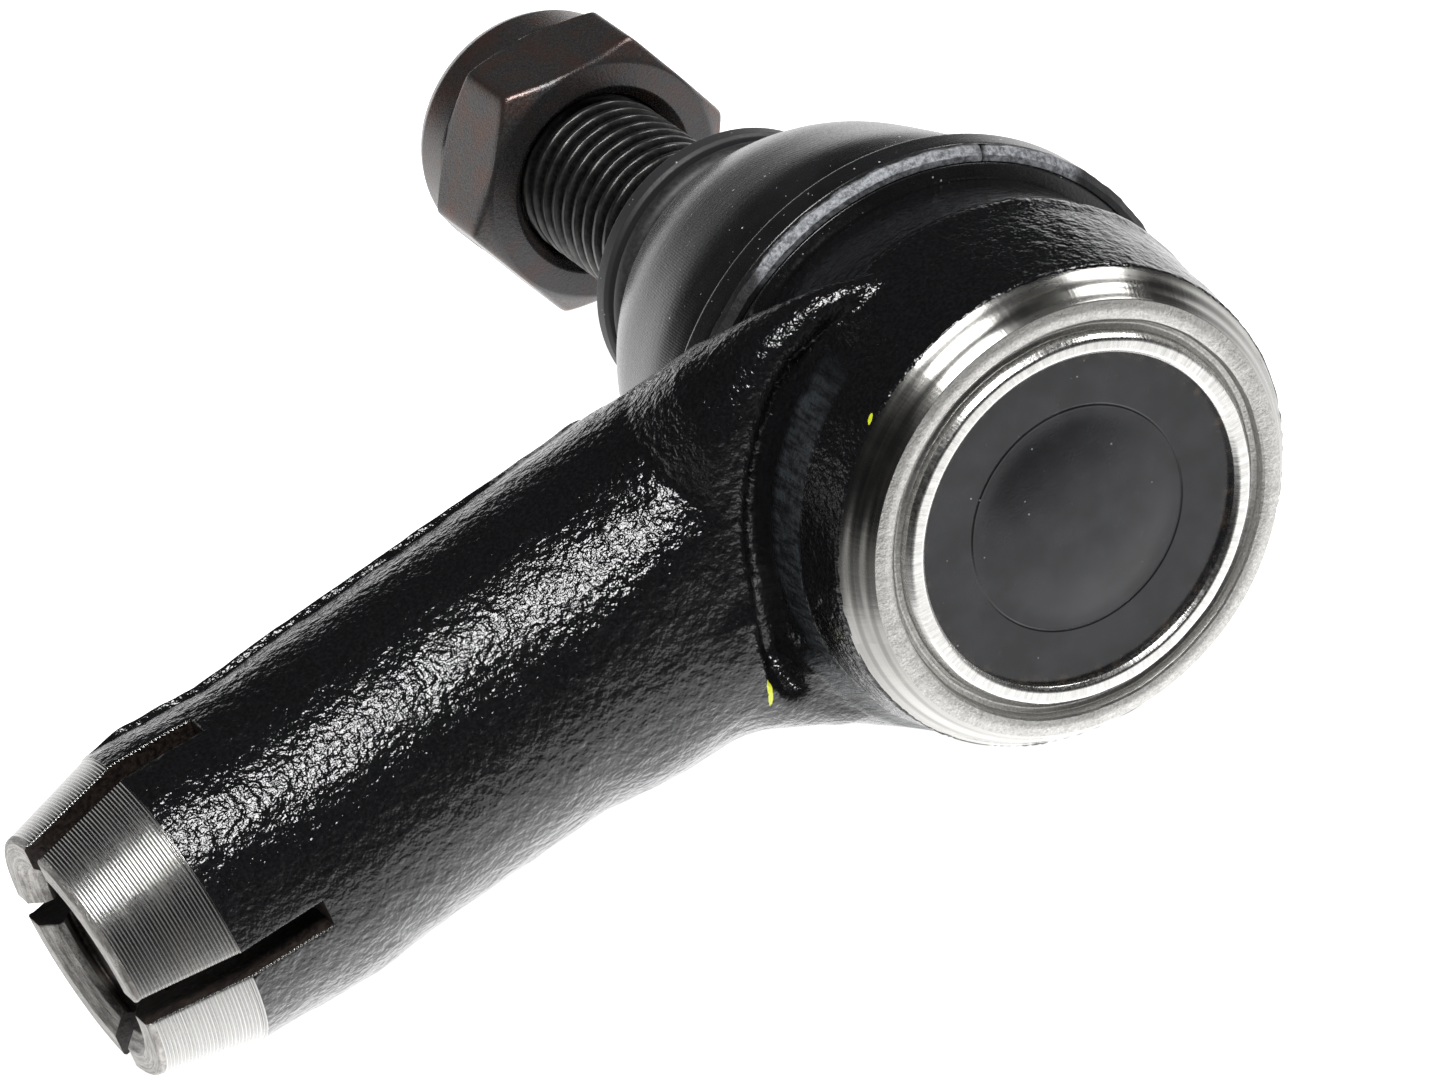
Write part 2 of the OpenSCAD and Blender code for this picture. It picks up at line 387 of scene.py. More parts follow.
def turned_steel(name, axis, pitch, depth, tint, rough):
    """Bright steel with turning rings, sizes in millimetres, about the stud (Y) or the arm (X)."""
    k = Look(name, Metallic=1.0, Anisotropic=0.55, Anisotropic_Rotation=0.25)
    x, y, _ = k.xyz()
    if axis == "Y":
        turn = k.angle_about_stud()
        along = k.minus(k.radius_about_stud(), y)
    else:
        turn = k.angle_about_arm()
        along = k.plus(x, k.radius_about_arm())
    around = k.times(turn, 0.012)
    # a regular feed mark, a little disturbed by streaks that run round the axis
    streaks = k.noise(0.30, 4, 0.65, at=k.point(along, k.times(around, 0.008)))
    rings = k.math("SINE", k.plus(k.times(along, TAU * 1000 / pitch), k.times(streaks, 0.6)))
    chatter = k.noise(0.5, 3, 0.6, at=k.point(k.times(along, 0.25), around))
    normal = k.bump(k.plus(rings, k.times(streaks, 0.3)), depth)
    normal = k.bump(chatter, 0.010, after=normal)
    stain = k.span(k.noise(4.5, 4, 0.6), 0.45, 0.72)
    colour = k.mix(k.span(streaks, 0.3, 0.75), tuple(c * 0.72 for c in tint), tint)
    colour = k.over(colour, k.span(rings, 0.1, 1.0), tuple(c * 0.35 for c in tint), 0.55)
    colour = k.over(colour, stain, (0.45, 0.441, 0.378), 0.30)
    colour = k.over(colour, k.span(k.noise(1.1, 5, 0.7), 0.70, 0.78), RUST, 0.5)
    k.wire(k.node("Tangent", direction_type="RADIAL", axis=axis).outputs[0], k.shader.inputs["Tangent"])
    return k.finish(colour, k.plus(k.roughness(streaks, *rough), k.times(stain, 0.06)), normal)


def smears(k, size, detail, around, outwards):
    """Noise drawn out from the stud's axis outwards, as a rolling tool leaves it."""
    place = k.point(k.times(k.angle_about_stud(), around), k.times(k.radius_about_stud(), outwards))
    return k.noise(size, detail, 0.6, at=place)


def face_steel():
    """The granular end face of the rim: bright, finely pitted, with smears and a few rust spots."""
    k = Look("rim_face_steel", Metallic=1.0)
    grain = k.noise(0.16, 4, 0.7)
    smear = smears(k, 0.8, 4, 0.0146, 0.3)
    colour = k.mix(k.span(grain, 0.25, 0.8), (0.34, 0.335, 0.32), (0.62, 0.61, 0.59))
    colour = k.over(colour, k.span(k.noise(0.42, 5, 0.7), 0.62, 0.72), (0.16, 0.14, 0.12), 0.5)
    colour = k.over(colour, k.span(k.noise(1.6, 5, 0.7), 0.70, 0.76), (0.25, 0.11, 0.05), 0.55)
    normal = k.bump(smear, 0.05, after=k.bump(grain, 0.035))
    return k.finish(colour, k.span(smear, 0.25, 0.8, 0.30, 0.48), normal)


def lip_steel():
    """The rolled lip: burnished bright, with fine radial smears from the rolling tool."""
    k = Look("rolled_lip_steel", Metallic=1.0)
    smear = smears(k, 0.35, 3, 0.0124, 0.12)
    colour = k.mix(k.span(smear, 0.3, 0.75), (0.56, 0.555, 0.54), (0.76, 0.75, 0.73))
    colour = k.over(colour, k.span(k.noise(0.7, 5, 0.75), 0.71, 0.76), (0.12, 0.09, 0.07), 0.6)
    return k.finish(colour, k.roughness(k.noise(0.25, 3), 0.20, 0.33), k.bump(smear, 0.022))


def cover_black():
    """Black phosphated sheet steel, faintly mottled, browned at its edge."""
    k = Look("phosphated_cover", Metallic=0.35, Specular_IOR_Level=0.5)
    grain = k.noise(0.14, 3, 0.6)
    edge = k.span(k.radius_about_stud(), 0.0108, 0.0117)
    colour = k.mix(k.span(k.noise(2.6, 4, 0.6), 0.3, 0.7), (0.010, 0.0102, 0.0115), (0.018, 0.0185, 0.021))
    colour = k.over(colour, k.span(k.noise(1.1, 6, 0.8), 0.64, 0.72), (0.11, 0.11, 0.115), 0.25)
    colour = k.over(colour, edge, (0.10, 0.075, 0.055), k.span(k.noise(0.9, 4), 0.45, 0.7, 0.0, 0.45))
    colour = k.over(colour, k.specks(0.9, (0.10, 0.05), 1.7, (0.58, 0.62)), (0.3, 0.3, 0.3), 0.6)
    return k.finish(colour, k.roughness(grain, 0.13, 0.24), k.bump(grain, 0.012))


def rubber():
    """Moulded black rubber with faint ribs along the stud, dust and lint specks."""
    k = Look("boot_rubber", Specular_IOR_Level=0.45, Sheen_Weight=0.05, Sheen_Roughness=0.5)
    _, y, _ = k.xyz()
    ribs = k.math("SINE", k.times(k.angle_about_stud(), 560.0))
    rib_zone = k.times(k.span(y, 0.0075, 0.0095), k.span(y, 0.021, 0.017))
    hoops = k.noise(0.35, 3, 0.6, stretch=(0.06, 1.0, 0.06))
    grain = k.noise(0.22, 3)
    lip = k.span(y, 0.0292, 0.0306)
    normal = k.bump(k.times(ribs, rib_zone), 0.0022)
    normal = k.bump(grain, 0.012, after=k.bump(hoops, 0.010, after=normal))
    colour = k.mix(k.span(k.noise(3.0, 4), 0.3, 0.7), (0.0045, 0.0045, 0.005), (0.009, 0.009, 0.010))
    colour = k.over(colour, lip, (0.030, 0.030, 0.032), 0.75)
    for size, low, share in ((0.75, 0.56, 0.8), (0.42, 0.58, 0.6)):
        dust = k.specks(size, (0.13, 0.07), size * 1.9, (low, low + 0.03))
        colour = k.over(colour, dust, (0.55, 0.55, 0.55), share)
    return k.finish(colour, k.plus(k.roughness(grain, 0.20, 0.30), k.times(lip, 0.28)), normal)


def ring_steel():
    """Blackened ring whose lower edge is painted light grey and made rougher on the side towards the head's
    crown: a painted highlight.
    """
    k = Look("boot_ring_steel", Metallic=0.6)
    _, y, _ = k.xyz()
    where = k.plus(k.angle_about_stud(), k.times(k.noise(2.4, 3), 0.22))
    # painted highlight: the ring's lower edge is light grey over the arc that faces the key light
    highlit_arc = k.times(k.span(where, 0.66, 0.74), k.span(where, 2.14, 2.06))
    ragged = k.times(k.minus(k.noise(1.0, 4, 0.65), 0.5), 0.0011)
    painted_highlight_edge = k.times(highlit_arc, k.span(k.plus(y, ragged), 0.00428, 0.00412))
    grain = k.noise(0.36, 5, 0.75)
    highlight_grey = k.mix(k.span(grain, 0.35, 0.68), (0.075, 0.078, 0.085), (0.36, 0.37, 0.39))
    colour = k.mix(k.span(grain, 0.3, 0.7), (0.010, 0.010, 0.011), (0.022, 0.022, 0.024))
    rough = k.plus(k.roughness(grain, 0.42, 0.55), k.times(painted_highlight_edge, 0.05))
    return k.finish(k.mix(painted_highlight_edge, colour, highlight_grey), rough, k.bump(grain, 0.07))


def spring_steel():
    """Dark rubber-dusted ring under the lip."""
    k = Look("lip_ring_steel", Metallic=0.2, Specular_IOR_Level=0.5)
    grain = k.noise(0.35, 4, 0.7)
    colour = k.mix(k.span(grain, 0.3, 0.75), (0.018, 0.018, 0.019), (0.045, 0.044, 0.046))
    colour = k.over(colour, k.span(k.noise(0.5, 5, 0.8), 0.66, 0.72), (0.35, 0.33, 0.33), 0.4)
    return k.finish(colour, k.roughness(grain, 0.42, 0.6), k.bump(grain, 0.02))


def stud_steel():
    """Oiled black thread with crests rubbed bright; the cone and ball are ground."""
    k = Look("stud_steel", Metallic=0.9)
    _, y, _ = k.xyz()
    thread = k.span(y, 0.0318, 0.0328)
    ball = k.span(y, 0.0086, 0.0080)
    crest = k.times(k.span(k.radius_about_stud(), 0.00552, 0.00592), thread)
    grain = k.noise(0.25, 4, 0.65)
    colour = k.mix(k.span(grain, 0.3, 0.75), (0.020, 0.020, 0.021), (0.055, 0.055, 0.055))
    colour = k.over(colour, crest, (0.115, 0.115, 0.112), k.span(k.noise(1.4, 4, 0.65), 0.3, 0.65, 0.35, 1.0))
    colour = k.over(colour, k.minus(1.0, thread), (0.40, 0.39, 0.37), 0.9)
    colour = k.over(colour, ball, (0.62, 0.61, 0.60), 0.8)
    colour = k.over(colour, k.span(k.noise(0.9, 5, 0.7), 0.72, 0.77), (0.20, 0.08, 0.04), 0.5)
    rough = k.minus(k.roughness(grain, 0.28, 0.42), k.times(ball, 0.16))
    return k.finish(colour, rough, k.bump(grain, 0.012))


def nut_steel():
    """Black phosphate over steel, browned on the flats."""
    k = Look("nut_phosphate", Metallic=0.75)
    _, y, _ = k.xyz()
    grain = k.noise(0.16, 4, 0.65)
    shaded_bearing_face = k.span(y, (NUT_Y + 0.35) * MM, (NUT_Y + 0.05) * MM)
    colour = k.mix(k.span(grain, 0.25, 0.8), (0.062, 0.058, 0.058), (0.125, 0.117, 0.115))
    colour = k.over(colour, k.span(k.noise(2.2, 4, 0.6), 0.40, 0.70), (0.135, 0.072, 0.055), 0.65)
    # painted shade: the bearing face is painted darker than the flats
    colour = k.over(colour, shaded_bearing_face, (0.05, 0.052, 0.056), 0.6)
    return k.finish(colour, k.roughness(grain, 0.20, 0.34), k.bump(grain, 0.02))


def raw_end_steel():
    """Sawn and faced end of the arm: light grey, scored in rings, torn at the edges."""
    k = Look("raw_end_steel", Metallic=1.0)
    place = k.point(k.radius_about_arm(), k.times(k.angle_about_arm(), 0.0006))
    rings = k.noise(0.22, 4, 0.7, at=place)
    grain = k.noise(0.30, 5, 0.75)
    colour = k.mix(k.span(rings, 0.3, 0.7), (0.15, 0.142, 0.135), (0.50, 0.485, 0.46))
    colour = k.over(colour, k.span(grain, 0.56, 0.70), (0.09, 0.07, 0.06), 0.8)
    normal = k.bump(grain, 0.14, after=k.bump(rings, 0.12))
    return k.finish(colour, k.roughness(grain, 0.32, 0.5), normal)


def bore_steel():
    """Cut thread in the arm: oily dark flanks and bright crests."""
    k = Look("bore_thread_steel", Metallic=0.9)
    grain = k.noise(0.3, 4, 0.65)
    colour = k.mix(k.span(grain, 0.3, 0.75), (0.045, 0.038, 0.035), (0.12, 0.105, 0.10))
    colour = k.over(colour, k.span(k.radius_about_arm(), 0.00665, 0.00625), (0.42, 0.40, 0.38), 0.8)
    return k.finish(colour, k.roughness(grain, 0.28, 0.45), k.bump(grain, 0.02))


def slot_black():
    """Paint run into the saw cuts: brown-black, patchy."""
    k = Look("slot_wall_paint", Specular_IOR_Level=0.45)
    grain = k.noise(0.4, 4, 0.7)
    colour = k.mix(k.span(grain, 0.35, 0.7), (0.007, 0.006, 0.006), (0.035, 0.024, 0.019))
    return k.finish(colour, k.roughness(grain, 0.30, 0.5), k.bump(grain, 0.06))


def plastic(name, light, dark):
    """Plain moulded plastic with faint flow marks."""
    k = Look(name, Specular_IOR_Level=0.5)
    flow = k.noise(3.0, 4, 0.6, stretch=(1.0, 0.3, 1.0))
    grain = k.noise(0.2, 3)
    return k.finish(k.mix(k.span(flow, 0.3, 0.7), dark, light), k.roughness(grain, 0.32, 0.48),
                    k.bump(grain, 0.01))


def pale_floor():
    """A matt white table that glows faintly."""
    k = Look("pale_floor", Specular_IOR_Level=0.1, Emission_Strength=1.2)
    colour = k.mix(k.span(k.noise(60.0, 3), 0.3, 0.7), (0.80, 0.80, 0.80), (0.84, 0.84, 0.84))
    k.wire(colour, k.shader.inputs["Emission Color"])
    return k.finish(colour, k.roughness(k.noise(0.8, 2), 0.6, 0.75))


PAINT = black_paint()
RIM_STEEL = turned_steel("rim_turned_steel", "Y", 0.28, 0.026, (0.42, 0.412, 0.395), (0.18, 0.29))
CONE_STEEL = turned_steel("cone_turned_steel", "X", 0.30, 0.05, (0.50, 0.495, 0.485), (0.22, 0.32))
FACE_STEEL = face_steel()
LIP_STEEL = lip_steel()
COVER = cover_black()
RUBBER = rubber()
RING = ring_steel()
SPRING = spring_steel()
STUD = stud_steel()
NUT = nut_steel()
RAW_END = raw_end_steel()
BORE = bore_steel()
SLOT_WALL = slot_black()
NYLON = plastic("nylon_white", (0.72, 0.73, 0.72), (0.60, 0.61, 0.61))
SEAT = plastic("seat_acetal", (0.66, 0.63, 0.55), (0.52, 0.50, 0.43))


# ------------ forged skin

FLASH_AT = math.radians(55.5)   # parting line along the arm, from +Y towards +Z

# how far the forging sits off the bore's axis, towards the flash, along X
ARM_OFFSET = [(-58, -0.55), (-52, -0.5), (-49, -0.25), (-46, -0.05), (-42, 0.07), (-38, 0.2), (-33, 0.36),
              (-28, 0.42)]

# the arm spreads on its upper side and runs out round the head: centre and radius along the way
SPREAD = [(-28.0, 5.0, 0.2, 10.9), (-20.8, 4.6, 1.7, 10.6), (-16.4, 3.4, 5.8, 7.9), (-13.6, 0.3, 9.8, 6.5),
          (-12.4, -0.8, 12.0, 5.0), (-11.0, -1.8, 14.2, 3.6), (-9.5, -2.6, 15.9, 2.4),
          (-7.9, -3.3, 16.95, 1.6), (-6.2, -3.8, 17.3, 1.2), (-4.4, -4.4, 17.1, 1.0), (-2.4, -5.0, 16.5, 0.8)]

# a rounded lip stands along the crest where the arm meets the channel
LIP = [(-13.9, -1.3, 11.6, 3.7), (-15.95, -1.95, 9.2, 3.3), (-17.6, -2.1, 6.6, 3.2), (-18.5, -2.6, 4.7, 2.8),
       (-19.2, -3.2, 2.2, 2.4), (-19.5, -3.6, -0.5, 2.2)]

# on its lower side the arm runs out sooner: bearing from +X through +Z in degrees, outer radius,
# height of its edge towards the boot, height of its crest towards the cover
FLARE = [(160, 16.0, 3.0, -4.0), (176, 21.0, 4.0, -5.1), (186, 22.2, 5.0, -5.3), (200, 22.2, 6.0, -5.2),
         (206, 21.4, 6.0, -5.1), (215, 19.3, 3.0, -5.3), (225, 17.7, 0.5, -5.8), (236, 16.8, -1.5, -6.6),
         (250, 16.2, -4.0, -7.4), (262, 15.0, -5.4, -7.9)]

# profiles about the stud: radius, height
HEAD = [(0, -12.78), (16.86, -12.78), (17.2, -10), (17.52, -6.8), (17.74, -4.4), (17.98, -3.5), (17.98, -3.1),
        (17.62, -2.4), (17.25, 0.2), (16.98, 3.34), (14.6, 3.38), (14.6, 6.9), (0, 6.9)]
CAVITY = [(0, -14), (12.55, -14), (12.55, 1), (10.6, 5), (10.6, 9), (0, 9)]
CHANNEL = [(17.0, -4.8), (17.8, -3.5), (18.5, -3.4), (19.0, -4.2), (19.55, -5.6), (21.0, -9.5), (21.5, -14),
           (15, -14), (15, -6)]

# how far the channel lies inside that profile, and how far it has run out, by bearing
CHANNEL_INWARD = [(96, 3.0), (101, 2.5), (108, 1.8), (116, 0.9), (124, 0.0), (172, 0.0), (183, -0.9),
                  (194, -1.9)]
CHANNEL_FADE = [(190, 0.0), (206, 5.0)]
CREST_Y = [(112, -5.75), (130, -4.75)]

# a well that keeps clear of the bending boot: height of its floor by bearing, radius by height above it
WELL_FLOOR = [(146, 8.6), (160, 7.0), (200, 7.0), (214, 8.6)]
WELL_WALL = [(0, 19.6), (0.8, 21.5), (8, 23.0)]


def arm_radius(x, turn):
    """Distance of the arm's painted surface from the bore's axis; turn is the angle from +Y towards +Z."""
    forged = step(x, -60.0, -50.0)
    radius = ARM_R - 0.04 - 0.05 * forged + read(ARM_OFFSET, x) * forged * np.cos(turn - FLASH_AT)
    radius = radius + 0.9 * step(x, -34, -24) * np.clip(-np.cos(turn - FLASH_AT), 0, 1) ** 2
    # trimmed flash that runs along the arm's upper edge
    away = np.abs((turn - FLASH_AT + 0.04 + math.pi) % TAU - math.pi) * ARM_R
    return radius + 0.5 * (1 - step(away, 0.62, 0.95)) * step(x, -61.0, -57.0) * (1 - step(x, -21.5, -18.5))


def polygon_distance(points, r, y):
    """Signed distance of (r, y) to a closed polygon, negative inside."""
    best = np.full(r.shape, 1e9)
    inside = np.zeros(r.shape, bool)
    for (r0, y0), (r1, y1) in zip(points, points[1:] + points[:1]):
        er, ey = r1 - r0, y1 - y0
        t = np.clip(((r - r0) * er + (y - y0) * ey) / (er * er + ey * ey), 0, 1)
        best = np.minimum(best, (r - r0 - t * er) ** 2 + (y - y0 - t * ey) ** 2)
        if y0 != y1:
            inside ^= ((y0 <= y) != (y1 <= y)) & (r < er * (y - y0) / ey + r0)
    return np.where(inside, -1, 1) * np.sqrt(best)


def join(a, b, k):
    """Smooth union of two distances."""
    h = np.clip(0.5 + 0.5 * (b - a) / k, 0, 1)
    return b + (a - b) * h - k * h * (1 - h)


def cut(a, b, k):
    """a less b, with a rounded edge."""
    return -join(-a, b, k)


def round_cone(p, a, b, ra, rb):
    """Distance to the hull of two balls."""
    a, b = np.array(a, float), np.array(b, float)
    ba = b - a
    l2, rr = ba @ ba, ra - rb
    a2 = l2 - rr * rr
    pa = p - a
    along = pa @ ba
    beyond = along - l2
    x2 = np.maximum((pa ** 2).sum(-1) * l2 - along ** 2, 0) * l2
    y2, z2 = along ** 2 * l2, beyond ** 2 * l2
    k = np.sign(rr) * rr * rr * x2
    middle = (np.sqrt(x2 * a2 / l2) + along * rr) / l2 - ra
    near_a = np.sqrt(x2 + y2) / l2 - ra
    near_b = np.sqrt(x2 + z2) / l2 - rb
    return np.where(np.sign(beyond) * a2 * z2 > k, near_b,
                    np.where(np.sign(along) * a2 * y2 < k, near_a, middle))


def chain(p, balls):
    """Distance to a chain of round cones from ball to ball."""
    best = np.full(p.shape[:-1], 1e3)
    for (*a, ra), (*b, rb) in zip(balls, balls[1:]):
        best = np.minimum(best, round_cone(p, a, b, ra, rb))
    return best


def flare_distance(r, y, bearing):
    """Distance to the flare's rounded rim."""
    bearings, *columns = zip(*FLARE)
    outer, top, low = (np.interp(bearing, bearings, column) for column in columns)
    middle, half = (top + low) / 2, (top - low) / 2
    corner = np.minimum(np.where(y > middle, 0.7, 1.9), half * 0.98)
    qr = r - outer + corner
    qy = np.abs(y - middle) - half + corner
    return np.hypot(np.maximum(qr, 0), np.maximum(qy, 0)) + np.minimum(np.maximum(qr, qy), 0) - corner


def skin_distance(p, whole=False):
    """Distance to the forged skin, in millimetres, negative inside. A whole one isn't hollow."""
    x, y, z = p[..., 0], p[..., 1], p[..., 2]
    r = np.hypot(x, z)
    rho = np.hypot(y - ARM_Y, z)
    bearing = np.degrees(np.arctan2(z, x)) % 360
    root = -6.0
    arm = np.maximum(rho - arm_radius(x, np.arctan2(z, y - ARM_Y)), x - root)
    arm = join(arm, flare_distance(r, y, bearing) + read([(152, 9.0), (176, 0.0)], bearing), 4.0)
    arm = join(arm, cut(chain(p, SPREAD), y - read(CREST_Y, bearing), 1.0), 1.5)
    arm = join(arm, chain(p, LIP), 0.8)
    wall = read(WELL_WALL, y - read(WELL_FLOOR, bearing))
    arm = cut(arm, np.maximum(r - wall, SHOULDER_Y - y), 0.7)
    channel = polygon_distance(CHANNEL, r + read(CHANNEL_INWARD, bearing), y + read(CHANNEL_FADE, bearing))
    arm = cut(arm, channel, 0.7)
    head = polygon_distance(HEAD, r, y) - 0.02
    body = join(head, arm, read([(188, 0.8), (212, 5.0)], bearing))
    if whole:
        return body
    body = np.maximum(body, -polygon_distance(CAVITY, r, y))
    body = np.maximum(body, -np.maximum(rho - SLEEVE_R, x - BORE_END - 1.7))
    return np.maximum(body, ARM_JOIN - 0.9 - x)


def surface_of(distance, low, high, size):
    """Quads of the zero surface of a distance function, by surface nets, moved onto it exactly."""
    counts = [int(math.ceil((h - l) / size)) + 1 for l, h in zip(low, high)]
    axes = [l + size * np.arange(n) for l, n in zip(low, counts)]
    field = np.stack([distance(np.stack(np.meshgrid([x], axes[1], axes[2], indexing="ij"), -1)[0])
                      for x in axes[0]])
    inside = field < 0
    cells = tuple(n - 1 for n in counts)
    total = np.zeros(cells + (3,))
    number = np.zeros(cells)

    def at(f, c):
        return f[tuple(slice(c[d], c[d] + cells[d]) for d in range(3))]

    # each cell's point is the mean of where its edges cross the surface
    for a in np.ndindex(2, 2, 2):
        for d in range(3):
            if a[d]:
                continue
            b = tuple(1 if e == d else a[e] for e in range(3))
            fa, fb = at(field, a), at(field, b)
            hit = at(inside, a) != at(inside, b)
            t = np.where(hit, fa / np.where(hit, fa - fb, 1), 0)
            for e in range(3):
                total[..., e] += np.where(hit, t if e == d else a[e], 0)
            number += hit
    used = number > 0
    index = np.full(cells, -1)
    index[used] = np.arange(int(used.sum()))
    verts = np.array(low) + size * (np.argwhere(used) + total[used] / number[used][:, None])

    # and each edge that crosses it is a quad of the four cells round it
    quads = []
    for d in range(3):
        e, f = (d + 1) % 3, (d + 2) % 3
        a, b = np.delete(inside, -1, d), np.delete(inside, 0, d)
        for flip, found in ((False, np.argwhere(a & ~b)), (True, np.argwhere(~a & b))):
            ring = []
            for de, df in ((1, 1), (0, 1), (0, 0), (1, 0)):
                c = found.copy()
                c[:, e] -= de
                c[:, f] -= df
                ring.append(index[tuple(c.T)])
            quads.append(np.stack(ring[::-1] if flip else ring, -1))
    quads = np.concatenate(quads)

    for _ in range(3):
        here = distance(verts)
        h = 0.02
        slope = np.stack([distance(verts + off) - here for off in np.eye(3) * h], -1) / h
        move = -(here / np.maximum((slope ** 2).sum(-1), 0.25))[:, None] * slope
        verts = verts + np.clip(move, -0.15, 0.15) * 0.8
    return verts, quads


def peel(points, outward, amount):
    """Moves painted points in and out, as the thick paint over the blasted forging does."""
    h = 0.060 * lumps(points, 1.9, 3.1) + 0.036 * lumps(points, 1.05, 7.7) + 0.09 * lumps(points, 7.5, 1.3)
    return points + outward * (h * amount)[:, None]


def outward_of(verts, quads):
    a, b, c, d = (verts[quads[:, i]] for i in range(4))
    n = np.cross(c - a, d - b)
    out = np.zeros_like(verts)
    for i in range(4):
        np.add.at(out, quads[:, i], n)
    out /= np.maximum(np.linalg.norm(out, axis=1), 1e-12)[:, None]
    outwards = np.einsum("ij,ij->i", verts - verts.mean(0), out) > 0
    return out if outwards.mean() >= 0.5 else -out


def forging():
    """The head and the arm's root, open where the slotted end's mesh goes on."""
    cell = 0.34
    verts, quads = surface_of(skin_distance, (ARM_JOIN - 1.5, -14.0, -20.5), (20.0, 17.8, 20.5), cell)
    out = outward_of(verts, quads)
    x, y, z = verts.T
    radius = np.hypot(x, z)
    rho = np.hypot(y - ARM_Y, z)
    painted = np.where((radius < 14.8) & (x > -18), 0.0, 1.0) * step(rho, 7.8, 8.6)
    painted *= 1 - 0.6 * (step(y, -3.4, -2.6) * (1 - step(radius, 18.2, 19.5)))
    verts = peel(verts, out, painted)
    # it runs on a little under the slotted end
    verts -= out * (step(verts[:, 0], ARM_JOIN, ARM_JOIN - 0.4) * 0.03 * step(rho, 8.6, 9.5))[:, None]
    quads = quads[verts[quads][:, :, 0].max(1) > ARM_JOIN - 0.6]
    used, quads = np.unique(quads, return_inverse=True)
    return verts[used], quads.reshape(-1, 4)


build("housing_forging", *forging(), "housing", "black_paint", [PAINT], ["forged_housing"])


# ------------ slotted end of the arm

PAINTED, TURNED, FACED, THREADED, SAWN = range(5)   # its materials, in order


def thread_depth(u, flat=0.125):
    """Share of the thread's depth at u turns from a crest, 0 at the crest and 1 at the root."""
    past_flat = np.abs((u + 0.5) % 1.0 - 0.5) - flat / 2
    flank = 0.5 - flat
    return step(past_flat, 0, flank) * 0.15 + np.clip(past_flat / flank, 0, 1) * 0.85


